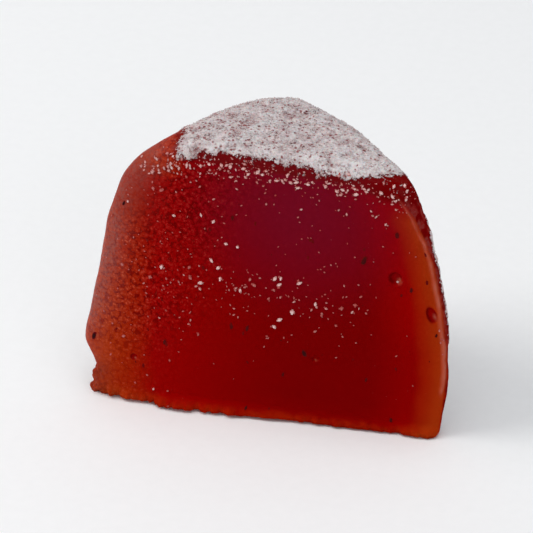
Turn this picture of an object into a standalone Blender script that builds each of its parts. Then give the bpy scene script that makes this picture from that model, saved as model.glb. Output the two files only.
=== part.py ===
"""Half a cube of turkish delight, cut from corner to corner and standing on its base.

The cut face looks towards -Y, and the two other sides meet in a rounded edge behind it.
The soft gel was pressed by the knife, so the piece is widest at its foot and narrower above.
Lengths are in metres, +Z is up, and the origin is under the middle of the piece.
"""

import math

import bmesh
import bpy
from mathutils import Vector, noise

MM = 0.001

# Height of the crown, how much it falls for each metre to the right, and its low dome
CROWN_HEIGHT = 27.4 * MM
CROWN_FALL = 0.062
CROWN_DOME = 0.5 * MM
CROWN_MIDDLE = -2.0 * MM
CROWN_REACH = (12.0 * MM, 8.0 * MM)

# Side lines, as (height, distance from the middle), in millimetres
LEFT_LINE = ((0.0, 19.1), (2.5, 18.9), (5.5, 19.5), (12.0, 18.3), (18.0, 17.2), (24.0, 15.6), (30.0, 14.6))
RIGHT_LINE = ((0.0, 18.0), (3.0, 18.5), (6.5, 18.8), (12.0, 18.4), (18.0, 17.6), (24.0, 16.5), (30.0, 16.0))
CUT_LINE = ((0.0, 8.9), (6.0, 8.6), (16.0, 8.0), (30.0, 7.2))
BACK_LINE = ((0.0, 8.4), (6.0, 8.7), (16.0, 8.0), (30.0, 6.4))

# Width of the blunt edge at the back, as a share of the width along the cut
BACK_SHARE = 0.2

# Radii of the shoulders that run round the crown, and of the edge at the foot
SHOULDER_LEFT = 7.0 * MM
SHOULDER_RIGHT = 3.3 * MM
SHOULDER_CUT = 1.7 * MM
SHOULDER_BACK = 3.2 * MM
FOOT_RADIUS = 0.3 * MM

# Reach of the rounding at the upright edges, seen from above: across the width, and along the depth
EDGE_CUT_LEFT = (6.0 * MM, 2.8 * MM)
EDGE_CUT_RIGHT = (3.0 * MM, 1.3 * MM)
EDGE_BACK = 3.6 * MM

# Grid of the block, and how strongly its lines crowd towards the edges
COLUMNS = 24
DEPTHS = 30
ROWS = 30
CROWDING = 0.5

# Unevenness of the whole piece, the sugared crust and the torn foot: (depth, length of a wave, seed)
SWELL = (0.30 * MM, 9.0 * MM, 3.0)
CRUST = (0.13 * MM, 2.3 * MM, 11.0)
TORN_FOOT = (0.35 * MM, 2.6 * MM, 23.0)
TORN_FOOT_HEIGHT = 1.4 * MM

# How far a normal turns to the front where the crust ends and where the bare cut begins
CUT_TURN = (0.6, 0.9)

# Lip that the knife raised beside the right edge of the cut face
LIP_HEIGHT = 0.22 * MM
LIP_INSET = 2.9 * MM
LIP_WIDTH = 0.6 * MM
LIP_FROM = 8.0 * MM
LIP_TO = 25.0 * MM
LIP_FADE = 3.5 * MM

# Dents and bulges pressed into the skin: (place, reach, depth), a bulge has a negative depth
DENTS = (
    ((-17.2, -7.2, 3.0), 1.2, 0.75),
    ((-17.6, -6.2, 6.0), 2.0, -0.35),
    ((-9.5, 0.0, 12.0), 4.5, 0.45),
    ((9.0, 0.5, 19.0), 4.0, -0.4),
    ((11.0, -1.5, 8.0), 4.0, 0.4),
    ((3.0, 0.0, 27.5), 4.5, 0.35),
)

# Creases in the two sugared sides: (start, end, half width, depth)
CREASES = (
    ((-13.0, -3.0, 21.5), (-6.5, 3.0, 22.5), 0.9, 0.30),
    ((-5.0, 5.5, 4.0), (-5.5, 5.0, 13.0), 1.0, 0.26),
    ((12.5, -2.0, 17.0), (5.5, 4.5, 15.5), 0.9, 0.28),
)


def crowded(share):
    """Moves an even share of the way, from 0 to 1, towards the nearer end."""
    return share - CROWDING * math.sin(2 * math.pi * share) / (2 * math.pi)


def smooth(value, low, high):
    """0 at low, 1 at high and a smooth step between."""
    t = min(1.0, max(0.0, (value - low) / (high - low)))
    return t * t * (3 - 2 * t)


def slope(line, i):
    """Slope of a line of (height, distance) at its station i, from the stations beside it."""
    low, high = line[max(0, i - 1)], line[min(len(line) - 1, i + 1)]
    return (high[1] - low[1]) / (high[0] - low[0])


def along(line, height):
    """Distance from the middle that a line of (height, distance) in millimetres has at a height."""
    height = height / MM
    i = max(n for n in range(len(line) - 1) if line[n][0] <= height or n == 0)
    (low, first), (high, second) = line[i], line[i + 1]
    span = high - low
    t = (height - low) / span
    start = (2 * t**3 - 3 * t**2 + 1) * first + (t**3 - 2 * t**2 + t) * span * slope(line, i)
    end = (3 * t**2 - 2 * t**3) * second + (t**3 - t**2) * span * slope(line, i + 1)
    return MM * (start + end)


def drawn_in(way, radius):
    """How far a quarter round of this radius has drawn in, this far past its start."""
    way = min(radius, max(0.0, way))
    return radius - math.sqrt(radius * radius - way * way)


def side_distance(line, height, shoulder):
    """Distance from the middle to one side at a height, with its shoulder and foot rounded."""
    over = drawn_in(height - (CROWN_HEIGHT - shoulder), shoulder)
    under = drawn_in(FOOT_RADIUS - height, FOOT_RADIUS)
    return along(line, height) - over - under


def round_edge(u, v, reach_u, reach_v):
    """Carries a point of the square from -1 to 1 towards the round in its corner."""
    a = (abs(u) - (1 - reach_u)) / reach_u
    b = (abs(v) - (1 - reach_v)) / reach_v
    if a <= 0 or b <= 0:
        return u, v
    pull = max(a, b) / math.hypot(a, b)
    round_u = 1 - reach_u + reach_u * a * pull
    round_v = 1 - reach_v + reach_v * b * pull
    return math.copysign(round_u, u), math.copysign(round_v, v)


def crown_height(x, y):
    """Height of the crown over a point of the plan."""
    away = math.hypot(x / CROWN_REACH[0], (y - CROWN_MIDDLE) / CROWN_REACH[1])
    return CROWN_HEIGHT - CROWN_FALL * x + CROWN_DOME * (1 - smooth(away, 0.0, 1.0))


def place(u, v, w):
    """Where a point of the cube from -1 to 1 lies on the smooth piece."""
    height = CROWN_HEIGHT * (w + 1) / 2
    left = side_distance(LEFT_LINE, height, SHOULDER_LEFT)
    right = side_distance(RIGHT_LINE, height, SHOULDER_RIGHT)
    cut = side_distance(CUT_LINE, height, SHOULDER_CUT)
    back = side_distance(BACK_LINE, height, SHOULDER_BACK)
    across = left if u < 0 else right
    if v > 0:
        u, v = round_edge(u, v, 1.0, 2 * EDGE_BACK / (cut + back))
    else:
        reach = EDGE_CUT_LEFT if u < 0 else EDGE_CUT_RIGHT
        u, v = round_edge(u, v, reach[0] / across, 2 * reach[1] / (cut + back))
    depth = (v + 1) / 2
    x = u * across * (1 - depth * (1 - BACK_SHARE))
    y = depth * back - (1 - depth) * cut
    return Vector((x, y, height * crown_height(x, y) / CROWN_HEIGHT))


def waves(point, depth, length, seed):
    """Two octaves of noise at a point, to about this depth and with waves of this length."""
    spot = point / length + Vector((seed, seed * 0.37, seed * 1.71))
    return depth * (noise.noise(spot) + 0.5 * noise.noise(spot * 2.1))


def distance_to_crease(point, start, end):
    """Distance from a point to the straight line of a crease."""
    start, end = Vector(start) * MM, Vector(end) * MM
    way = end - start
    share = min(1.0, max(0.0, (point - start).dot(way) / way.length_squared))
    return (point - start - share * way).length


def relief(point, normal):
    """How far the uneven skin stands out from the smooth piece at a point."""
    on_cut = smooth(-normal.y, *CUT_TURN)
    lift = waves(point, *SWELL) * (1 - 0.6 * on_cut)
    lift += waves(point, *CRUST) * (1 - on_cut)
    low = 1 - smooth(point.z, 0.3 * TORN_FOOT_HEIGHT, TORN_FOOT_HEIGHT)
    lift += waves(point, *TORN_FOOT) * low

    inset = along(RIGHT_LINE, point.z) - LIP_INSET - point.x
    rising = smooth(point.z, LIP_FROM, LIP_FROM + LIP_FADE)
    ending = smooth(point.z, LIP_TO - LIP_FADE, LIP_TO)
    lift += LIP_HEIGHT * math.exp(-((inset / LIP_WIDTH) ** 2)) * (rising - ending) * on_cut

    for centre, reach, depth in DENTS:
        far = (point - Vector(centre) * MM).length / (reach * MM)
        lift -= depth * MM * math.exp(-far * far)
    for start, end, half_width, depth in CREASES:
        far = distance_to_crease(point, start, end) / (half_width * MM)
        lift -= depth * MM * math.exp(-far * far) * (1 - on_cut)
    return lift


def subdivide_along(bm, axis, pieces):
    """Cuts every edge that runs along an axis into this many pieces."""
    edges = [e for e in bm.edges if abs((e.verts[0].co - e.verts[1].co)[axis]) > 1e-6]
    bmesh.ops.subdivide_edges(bm, edges=edges, cuts=pieces - 1, use_grid_fill=True)


def gel_block():
    """The piece as one closed mesh, from a cube cut into a grid and drawn into shape."""
    bm = bmesh.new()
    bmesh.ops.create_cube(bm, size=2.0)
    for axis, pieces in enumerate((COLUMNS, DEPTHS, ROWS)):
        subdivide_along(bm, axis, pieces)
    rims = {}
    for vert in bm.verts:
        u, v, w = (2 * crowded((c + 1) / 2) - 1 for c in vert.co)
        rims[vert] = max(abs(u), abs(v)) ** 4
        vert.co = place(u, v, w)
    bm.normal_update()

    lifts = [(v, v.normal.copy(), relief(v.co, v.normal)) for v in bm.verts]
    for vert, out, lift in lifts:
        if vert.co.z < 1e-6:
            out = rims[vert] * Vector((vert.co.x, vert.co.y, 0.0)).normalized()
        vert.co += out * lift
        vert.co.z = max(vert.co.z, 0.0)

    for axis in (0, 1):
        reach = [v.co[axis] for v in bm.verts]
        middle = (min(reach) + max(reach)) / 2
        for vert in bm.verts:
            vert.co[axis] -= middle
    return bm


def gel_material():
    """Deep red starch gel, satin where the knife cut it."""
    material = bpy.data.materials.new("rose_gel")
    material.use_nodes = True
    shader = material.node_tree.nodes["Principled BSDF"]
    shader.inputs["Base Color"].default_value = (0.19, 0.008, 0.008, 1.0)
    shader.inputs["Roughness"].default_value = 0.35
    shader.inputs["Metallic"].default_value = 0.0
    return material


def main():
    for old in list(bpy.data.objects):
        bpy.data.objects.remove(old)
    sweets = bpy.data.collections.new("turkish_delight")
    bpy.context.scene.collection.children.link(sweets)

    bm = gel_block()
    mesh = bpy.data.meshes.new("cut_piece")
    bm.to_mesh(mesh)
    bm.free()
    mesh.shade_smooth()
    mesh.materials.append(gel_material())
    sweets.objects.link(bpy.data.objects.new("cut_piece", mesh))


main()
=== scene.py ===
import math
import random

import bmesh
import bpy
from mathutils import Euler, Matrix, Vector, noise
from mathutils.bvhtree import BVHTree


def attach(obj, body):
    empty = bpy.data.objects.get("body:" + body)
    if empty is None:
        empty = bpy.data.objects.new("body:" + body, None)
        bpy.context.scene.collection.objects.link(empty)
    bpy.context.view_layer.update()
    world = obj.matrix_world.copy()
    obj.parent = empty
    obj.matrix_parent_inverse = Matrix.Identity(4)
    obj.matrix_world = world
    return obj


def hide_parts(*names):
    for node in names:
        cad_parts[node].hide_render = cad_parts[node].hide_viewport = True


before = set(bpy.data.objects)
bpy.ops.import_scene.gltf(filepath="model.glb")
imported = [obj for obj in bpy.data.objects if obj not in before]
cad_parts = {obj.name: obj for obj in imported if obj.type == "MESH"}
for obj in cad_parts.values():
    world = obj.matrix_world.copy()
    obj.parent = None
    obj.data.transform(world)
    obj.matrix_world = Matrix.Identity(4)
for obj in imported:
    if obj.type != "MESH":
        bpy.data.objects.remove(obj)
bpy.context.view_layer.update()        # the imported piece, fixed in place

mm = 0.001               # the frame is in metres


# small helpers for shapes and nodes

def ramp(value, low, high):
    # 0 below a range, 1 above it and a straight rise between
    return min(1.0, max(0.0, (value - low) / (high - low)))


def smooth(value, low, high):
    # the same with a soft start and end
    t = ramp(value, low, high)
    return t * t * (3 - 2 * t)


def rise(value, step):
    # grows from 0 to an amount: a step is (amount, from, to)
    amount, low, high = step
    return amount * smooth(value, low, high)


def fall(value, step):
    # shrinks from an amount to 0
    amount, low, high = step
    return amount * (1 - smooth(value, low, high))


def bell(value, width):
    # 1 at 0, falling to both sides
    return math.exp(-(value / width) ** 2)


def between(stations, at):
    # value at a place on a line through stations of (place, value)
    if at <= stations[0][0]:
        return stations[0][1]
    for (low, first), (high, second) in zip(stations, stations[1:]):
        if at <= high:
            return first + (second - first) * (at - low) / (high - low)
    return stations[-1][1]


def ripple(point, length, seed):
    # two octaves of noise, about -1 to 1, with waves of this length
    spot = point / length + Vector((seed, seed * 0.37, seed * 1.71))
    return noise.noise(spot) + 0.5 * noise.noise(spot * 2.13)


def rippleAlong(x, length, seed):
    # one octave of noise along a line
    return noise.noise(Vector((x / length, seed, 0)))


def wave(point, kind):
    # a ripple with a depth: a wave is (depth, length, seed)
    depth, length, seed = kind
    return depth * ripple(point, length, seed)


def addNode(tree, kind, spot, values=None, **settings):
    node = tree.nodes.new(kind)
    node.location = spot
    for name, value in settings.items():
        setattr(node, name, value)
    for socket, value in (values or {}).items():
        node.inputs[socket].default_value = value
    return node


def feed(tree, socket, given):
    # links an output to a socket, or sets the socket to a value
    if isinstance(given, bpy.types.NodeSocket):
        tree.links.new(given, socket)
    elif given is not None:
        socket.default_value = given


def mathNode(tree, operation, spot, first, second=None, third=None, clamp=False):
    node = addNode(tree, "ShaderNodeMath", spot, operation=operation, use_clamp=clamp)
    for socket, given in zip(node.inputs, (first, second, third)):
        feed(tree, socket, given)
    return node.outputs[0]


def mixColor(tree, spot, factor, first, second, kind="MIX"):
    # a Mix node takes two colours in sockets 6 and 7 and gives one in output 2
    node = addNode(tree, "ShaderNodeMix", spot, data_type="RGBA", blend_type=kind)
    for index, given in ((0, factor), (6, first), (7, second)):
        feed(tree, node.inputs[index], given)
    return node.outputs[2]


def mapRange(tree, spot, value, low, high, start=0.0, end=1.0):
    node = addNode(tree, "ShaderNodeMapRange", spot, interpolation_type="SMOOTHSTEP")
    for socket, given in zip(node.inputs[:5], (value, low, high, start, end)):
        feed(tree, socket, given)
    return node.outputs[0]


def readMask(tree, spot, name):
    return addNode(tree, "ShaderNodeAttribute", spot, attribute_name=name).outputs["Fac"]


def newMaterial(name):
    material = bpy.data.materials.new(name)
    material.use_nodes = True
    shader = material.node_tree.nodes["Principled BSDF"]
    shader.location = (700, 0)
    material.node_tree.nodes["Material Output"].location = (1000, 0)
    return material, material.node_tree, shader


# effects that the materials share

def newGroup(name, inputs, outputs):
    group = bpy.data.node_groups.new(name, "ShaderNodeTree")
    for label, value in inputs:
        socket = group.interface.new_socket(name=label, in_out="INPUT", socket_type="NodeSocketFloat")
        socket.default_value = value
    for label in outputs:
        group.interface.new_socket(name=label, in_out="OUTPUT", socket_type="NodeSocketFloat")
    return group, addNode(group, "NodeGroupInput", (-900, 0)), addNode(group, "NodeGroupOutput", (700, 0))


def makeDustGroup():
    # fine sugar that lies in specks and clumps, with cracks between: Cover 0 is bare, 1 is closed
    inputs = (
        ("Cover", 0.5), ("Speck Scale", 4000.0), ("Clump Scale", 1200.0), ("Softness", 0.05),
        ("Crack Scale", 900.0), ("Crack Width", 0.03), ("Cracks", 0.5),
    )
    speckShare, clumpShare = 0.68, 0.32
    bareLevel, coverChange = 0.73, -0.46            # what the noise has to pass at Cover 0, change at 1
    clumpLow, clumpHigh = 0.42, 0.58                # cracks run only where the clumps are low
    group, given, result = newGroup("sugarDust", inputs, ("Mask", "Height"))
    given = given.outputs
    where = addNode(group, "ShaderNodeTexCoord", (-900, -300)).outputs["Object"]
    specks = addNode(group, "ShaderNodeTexNoise", (-650, 100), {"Detail": 3.0, "Roughness": 0.62})
    clumps = addNode(group, "ShaderNodeTexNoise", (-650, -150), {"Detail": 3.0, "Roughness": 0.55})
    lines = addNode(
        group, "ShaderNodeTexNoise", (-650, -400), {"Detail": 2.0, "Roughness": 0.5, "Distortion": 0.6}
    )
    for texture, label in ((specks, "Speck Scale"), (clumps, "Clump Scale"), (lines, "Crack Scale")):
        group.links.new(where, texture.inputs["Vector"])
        group.links.new(given[label], texture.inputs["Scale"])
    both = mathNode(group, "MULTIPLY_ADD", (-400, 0), specks.outputs[0], speckShare, 0.0)
    both = mathNode(group, "MULTIPLY_ADD", (-200, 0), clumps.outputs[0], clumpShare, both)
    level = mathNode(group, "MULTIPLY_ADD", (-400, 250), given["Cover"], coverChange, bareLevel)
    low = mathNode(group, "SUBTRACT", (-200, 300), level, given["Softness"])
    high = mathNode(group, "ADD", (-200, 150), level, given["Softness"])
    mask = mapRange(group, (50, 200), both, low, high)
    centred = mathNode(group, "SUBTRACT", (-520, -400), lines.outputs[0], 0.5)
    away = mathNode(group, "ABSOLUTE", (-400, -400), centred)
    crack = mapRange(group, (-200, -400), away, 0.0, given["Crack Width"], 1.0, 0.0)
    patchy = mapRange(group, (-200, -250), clumps.outputs[0], clumpHigh, clumpLow)
    crack = mathNode(group, "MULTIPLY", (-50, -300), crack, patchy)
    crack = mathNode(group, "MULTIPLY", (50, -400), crack, given["Cracks"])
    mask = mathNode(group, "MULTIPLY", (250, 200), mask, mathNode(group, "SUBTRACT", (150, -200), 1.0, crack))
    group.links.new(mask, result.inputs["Mask"])
    group.links.new(mathNode(group, "MULTIPLY", (350, 0), mask, both), result.inputs["Height"])
    return group


def makeGrainGroup():
    # fine unevenness in tone and height, for gel, sugar, specks and floor
    inputs = (("Scale", 3000.0), ("Contrast", 1.0), ("Detail", 3.0))
    group, given, result = newGroup("fineGrain", inputs, ("Tone", "Height"))
    where = addNode(group, "ShaderNodeTexCoord", (-900, -300)).outputs["Object"]
    texture = addNode(group, "ShaderNodeTexNoise", (-650, 0), {"Roughness": 0.6})
    group.links.new(where, texture.inputs["Vector"])
    group.links.new(given.outputs["Scale"], texture.inputs["Scale"])
    group.links.new(given.outputs["Detail"], texture.inputs["Detail"])
    centred = mathNode(group, "SUBTRACT", (-400, 0), texture.outputs[0], 0.5)
    tone = mathNode(group, "MULTIPLY_ADD", (-200, 0), centred, given.outputs["Contrast"], 0.5, clamp=True)
    group.links.new(tone, result.inputs["Tone"])
    group.links.new(texture.outputs[0], result.inputs["Height"])
    return group


def makeFleckGroup():
    # uneven flecks, each of its own strength, and the web between them
    inputs = (("Scale", 2500.0), ("Fleck Size", 0.45), ("Web Size", 0.55), ("Warp", 0.0003))
    webRise = 0.25                                  # distance over which the web darkens
    group, given, result = newGroup("tornFlecks", inputs, ("Fleck", "Web"))
    where = addNode(group, "ShaderNodeTexCoord", (-1500, -300)).outputs["Object"]
    drift = addNode(
        group, "ShaderNodeTexNoise", (-1300, -100), {"Scale": 1900.0, "Detail": 2.0, "Roughness": 0.6}
    )
    group.links.new(where, drift.inputs["Vector"])
    warped = addNode(group, "ShaderNodeVectorMath", (-900, -300), operation="MULTIPLY_ADD")
    for socket, source in zip(warped.inputs, (drift.outputs["Color"], given.outputs["Warp"], where)):
        group.links.new(source, socket)
    cells = addNode(group, "ShaderNodeTexVoronoi", (-650, 0))
    group.links.new(warped.outputs[0], cells.inputs["Vector"])
    group.links.new(given.outputs["Scale"], cells.inputs["Scale"])
    away = cells.outputs["Distance"]
    strength = addNode(group, "ShaderNodeSeparateColor", (-400, -200))
    group.links.new(cells.outputs["Color"], strength.inputs["Color"])
    fleck = mapRange(group, (-200, 100), away, 0.0, given.outputs["Fleck Size"], 1.0, 0.0)
    fleck = mathNode(group, "MULTIPLY", (50, 0), fleck, strength.outputs["Red"])
    group.links.new(fleck, result.inputs["Fleck"])
    top = mathNode(group, "ADD", (-400, 250), given.outputs["Web Size"], webRise)
    group.links.new(mapRange(group, (-200, 350), away, given.outputs["Web Size"], top), result.inputs["Web"])
    return group


def placeGroup(tree, group, spot, values):
    node = addNode(tree, "ShaderNodeGroup", spot, node_tree=group)
    for label, value in values.items():
        feed(tree, node.inputs[label], value)
    return node


dustGroup = makeDustGroup()
grainGroup = makeGrainGroup()
fleckGroup = makeFleckGroup()
print("shared effects ready")


# camera, light and floor

cameraSet = {
    "azimuth": 12.5,           # degrees to the right of the cut face
    "elevation": 31.0,
    "distance": 0.36,
    "lens": 255.0,
    "aim": (-1.3 * mm, -0.7 * mm, 11.9 * mm),
}


def direction(azimuth, elevation):
    a, e = math.radians(azimuth), math.radians(elevation)
    return Vector((math.sin(a) * math.cos(e), -math.cos(a) * math.cos(e), math.sin(e)))


def placeCamera(values):
    data = bpy.data.cameras.new("camera")
    data.lens = values["lens"]
    data.sensor_width = 36.0
    data.clip_start = 0.01
    camera = bpy.data.objects.new("camera", data)
    bpy.context.scene.collection.objects.link(camera)
    aim = Vector(values["aim"])
    camera.location = aim + values["distance"] * direction(values["azimuth"], values["elevation"])
    camera.rotation_euler = (aim - camera.location).to_track_quat("-Z", "Y").to_euler()
    bpy.context.scene.camera = camera


lightSet = {
    # name: azimuth, elevation, distance, size, watts, colour
    "keyLeft": (-78.0, 42.0, 0.50, 0.34, 1.15, (1.0, 0.985, 0.97)),
    "topSoft": (20.0, 82.0, 0.55, 0.50, 1.00, (0.97, 0.985, 1.0)),
    "fillFront": (35.0, 25.0, 0.80, 0.50, 0.60, (0.96, 0.98, 1.0)),
}
lampAim = (0.0, 0.0, 12 * mm)          # the middle of the piece
worldSet = {"color": (0.93, 0.955, 1.0, 1.0), "strength": 0.42}


def placeLights(lights, world):
    for name, (azimuth, elevation, distance, size, watts, color) in lights.items():
        data = bpy.data.lights.new(name, "AREA")
        data.shape = "DISK"
        data.size = size
        data.energy = watts
        data.color = color
        lamp = bpy.data.objects.new(name, data)
        bpy.context.scene.collection.objects.link(lamp)
        aim = Vector(lampAim)
        lamp.location = aim + distance * direction(azimuth, elevation)
        lamp.rotation_euler = (aim - lamp.location).to_track_quat("-Z", "Y").to_euler()
    sky = bpy.data.worlds.new("studio")
    sky.use_nodes = True
    sky.node_tree.nodes["Background"].inputs["Color"].default_value = world["color"]
    sky.node_tree.nodes["Background"].inputs["Strength"].default_value = world["strength"]
    bpy.context.scene.world = sky


floorSet = {
    "radius": 3.0, "sides": 96,
    "color": (0.955, 0.955, 0.95, 1.0),
    "shade": (0.930, 0.930, 0.925, 1.0),
    "roughness": 0.75, "specular": 0.2,
    "grain": {"Scale": 900.0, "Contrast": 1.4, "Detail": 2.0},
}


def makeFloor(values):
    material, tree, shader = newMaterial("paleFloor")
    grain = placeGroup(tree, grainGroup, (-200, 0), values["grain"])
    color = mixColor(tree, (100, 100), grain.outputs["Tone"], values["shade"], values["color"])
    tree.links.new(color, shader.inputs["Base Color"])
    shader.inputs["Roughness"].default_value = values["roughness"]
    shader.inputs["Specular IOR Level"].default_value = values["specular"]
    bm = bmesh.new()
    bmesh.ops.create_circle(bm, cap_ends=True, segments=values["sides"], radius=values["radius"])
    mesh = bpy.data.meshes.new("floor")
    bm.to_mesh(mesh)
    bm.free()
    mesh.materials.append(material)
    floor = bpy.data.objects.new("floor", mesh)
    bpy.context.scene.collection.objects.link(floor)


placeCamera(cameraSet)
placeLights(lightSet, worldSet)
makeFloor(floorSet)
bpy.context.scene.view_settings.view_transform = "Standard"
print("camera, light and floor placed")


# the gel piece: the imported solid, refined and given its fine relief
# lengths are in millimetres; a range is (from, to), a step (amount, from, to), a wave (depth, length, seed)

gelSet = {
    "levels": 2,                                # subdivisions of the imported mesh
    # two more near an open bubble (as a share of its reach), the lip and the floor
    "finerPasses": ((1.7, 0.6, 0.9), (1.4, 0.34, 0.34)),
    "finerBehind": 1.6, "finerLip": (3.0, 25.5),        # up to here behind the cut, and along the lip
    "cutFoot": -8.9, "cutLean": 0.058,          # y of the cut at the foot, and how it leans back with height
    "cutTurn": (0.5, 0.85),                     # how far a normal turns to the front where the cut begins
    "brow": 26.15, "browFall": 0.07,            # height of the cut's upper edge, and its fall to the right
    # dust starts this far behind the cut: (x, distance) along the brow, (z, distance) up the right edge
    "browInset": (
        (-8.2, 0.28), (-6.8, 0.16), (-5.5, 0.38), (-3.5, 0.60), (-1.8, 0.46), (0.3, 0.58), (1.5, 0.50),
        (3.0, 0.54), (5.0, 0.44), (8.0, 0.34), (9.4, 0.60), (11.6, 1.40), (13.0, 2.30), (15.0, 2.60),
    ),
    "sideInset": ((0.0, 1.7), (8.5, 1.6), (11.0, 0.80), (21.0, 0.79), (23.5, 1.3), (25.0, 2.5), (30.0, 2.6)),
    "browReach": 0.9,                           # dust hangs this far below the cut's upper edge at most
    "tabFrom": -8.4,                            # left of this the dust starts further back:
    "tabLow": 3.0, "tabHigh": 4.6,              # this far behind the cut, low down and on the crown
    "tabRise": (17.0, 25.0),                    # and between these heights it passes from one to the other
    "edgeTeeth": ((0.26, 1.2, 31.0), (0.10, 0.42, 33.0)),       # waves of the dust's edge
    "edgeFade": (-0.15, 0.30),                  # depths over which the dust begins
    "rightFrom": (13.0, 15.0), "rightTop": (21.5, 23.5),        # x where the right side begins, z of its top
    "rightCalm": 0.75,                          # share of the teeth that is missing there
    "dusted": (0.30, 0.62),                     # cover over which the dust gets thick
    "dustLift": 0.11, "lumpLift": 0.10, "clumpLift": 0.13, "fineLift": (0.035, 0.5, 8.0),
    # round lumps of powder: length and seed of their noise, where they rise in it, and their mean height
    "lumps": (0.95, 4.0), "lumpRise": (-0.42, 0.12), "lumpMean": 0.7,
    # closed clumps of powder near the front edge of the crown: x, y and reach across and along
    "clumps": (
        (-7.4, -6.2, 1.0, 0.8), (-5.2, -6.4, 0.8, 0.6), (-3.8, -5.6, 0.8, 0.7), (0.6, -6.2, 0.9, 0.6),
        (4.4, -6.1, 0.8, 0.6), (8.6, -5.7, 1.5, 0.9), (10.6, -5.0, 1.2, 0.8),
    ),
    "clumpsOver": 20.0,                         # they lie above this height
    "gelWaves": ((0.03, 1.6, 14.0), (0.012, 0.55, 19.0)),
    # the torn foot: heights and depths behind the cut over which it fades, teeth, and how far they lift
    "footFade": (0.1, 1.5), "footBehind": (0.5, 1.3), "footTeeth": 0.40, "footRagged": 0.10,
    "footStrength": 0.65, "footLeft": (0.75, -2.0, 8.0),        # its teeth are stronger on the left
    "footNoise": ((2.3, 3.0), (0.85, 7.0), (0.37, 9.0)),        # coarse, fine and finest: length and seed
    "footGaps": (0.1, 0.5),                     # noise over which a tooth lifts off the floor
    "footOut": (                                # (x, distance) by which the rim stands out
        (-17.5, 0.0), (-14.3, 0.05), (-13.9, 0.38), (-10.45, 0.16), (-10.35, 0.86), (8.0, 0.55), (17.5, 0.40),
    ),
    # the torn lower left corner: its wave, up to these heights and from these distances to the left
    "cornerTeeth": (0.50, 0.75, 67.0), "cornerTop": (2.2, 3.6), "cornerFrom": (15.0, 16.5),
    "lipHeight": 0.20, "lipWidth": 0.16, "lipStart": (3.5, 5.5), "lipEnd": (23.5, 25.5),
    "lipEven": 0.70, "lipWave": (0.75, 1.3, 61.0), "lipDrift": (0.10, 1.8, 63.0),
    # the lip that the knife raised beside the right edge: (z, x)
    "lipLine": (
        (0.0, 16.55), (3.0, 17.0), (6.5, 17.25), (9.0, 17.15), (11.0, 16.9), (13.2, 16.65), (15.9, 16.15),
        (18.1, 15.7), (20.5, 14.9), (22.9, 13.8), (24.5, 12.7), (27.0, 11.0),
    ),
    # open bubbles in the cut: x and z, reach across and up, lean in degrees, and depth
    "pits": (
        (12.5, 16.5, 0.64, 0.66, 0.0, 0.34), (16.0, 13.1, 0.44, 0.85, 20.0, 0.27),
        (-12.5, 5.0, 0.32, 0.34, 0.0, 0.16), (5.0, 7.0, 0.26, 0.26, 0.0, 0.12),
    ),
    "pitRim": (0.10, 1.15, 0.22),               # height as a share of depth, place and width of reach
    # the right edge is drawn in at the upper corner and swells lower down: distance, x, height and span
    "rightForm": ((-0.42, (13.0, 15.2), 24.0, 2.6), (0.15, (16.0, 17.5), 13.0, 4.0)),
}


def behindCut(point):
    # how far a point lies behind the plane of the cut
    return point.y - (gelSet["cutFoot"] + gelSet["cutLean"] * point.z)


def overBrow(point):
    # how far a point of the cut side lies above the cut's upper edge
    return point.z - gelSet["brow"] + gelSet["browFall"] * point.x


def besideLip(point):
    # how far a point of the cut lies to the right of the lip
    return point.x - between(gelSet["lipLine"], point.z)


def onLip(point):
    # about 1 on the lip, uneven along it, falling to 0 beside it
    high = smooth(point.z, *gelSet["lipStart"]) * (1 - smooth(point.z, *gelSet["lipEnd"]))
    high *= gelSet["lipEven"] + wave(point, gelSet["lipWave"])
    beside = besideLip(point) - wave(point, gelSet["lipDrift"])
    return max(0.0, high) * bell(beside, gelSet["lipWidth"])


def onRightSide(point):
    # 1 on the right side below the crown
    return smooth(point.x, *gelSet["rightFrom"]) * (1 - smooth(point.z, *gelSet["rightTop"]))


def inPit(pit, point):
    # place across and up in an open bubble, as shares of its reach
    x, z, across, up, lean = pit[:5]
    turn = math.radians(lean)
    right, high = point.x - x, point.z - z
    return (
        (math.cos(turn) * right + math.sin(turn) * high) / across,
        (math.cos(turn) * high - math.sin(turn) * right) / up,
    )


def dustDepth(point):
    # how far a point lies inside the sugared side of the dust's ragged edge
    behind = behindCut(point)
    ragged = sum(wave(point, teeth) for teeth in gelSet["edgeTeeth"])
    ragged *= 1 - gelSet["rightCalm"] * onRightSide(point)
    overEdge = min(behind - between(gelSet["browInset"], point.x), overBrow(point) + gelSet["browReach"])
    inside = max(overEdge, behind - between(gelSet["sideInset"], point.z))
    tab = gelSet["tabLow"] + (gelSet["tabHigh"] - gelSet["tabLow"]) * smooth(point.z, *gelSet["tabRise"])
    return max(behind - tab, min(inside, point.x - gelSet["tabFrom"])) + ragged


def inClump(point):
    # 1 in the middle of a closed clump of powder, falling to 0 round it
    if point.z < gelSet["clumpsOver"]:
        return 0.0
    return max(
        bell(math.hypot((point.x - x) / across, (point.y - y) / along), 1.0)
        for x, y, across, along in gelSet["clumps"]
    )


def dustLump(point):
    # 1 on the round lumps that powder gathers into, 0 in the furrows between them
    return smooth(ripple(point, *gelSet["lumps"]), *gelSet["lumpRise"])


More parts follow.
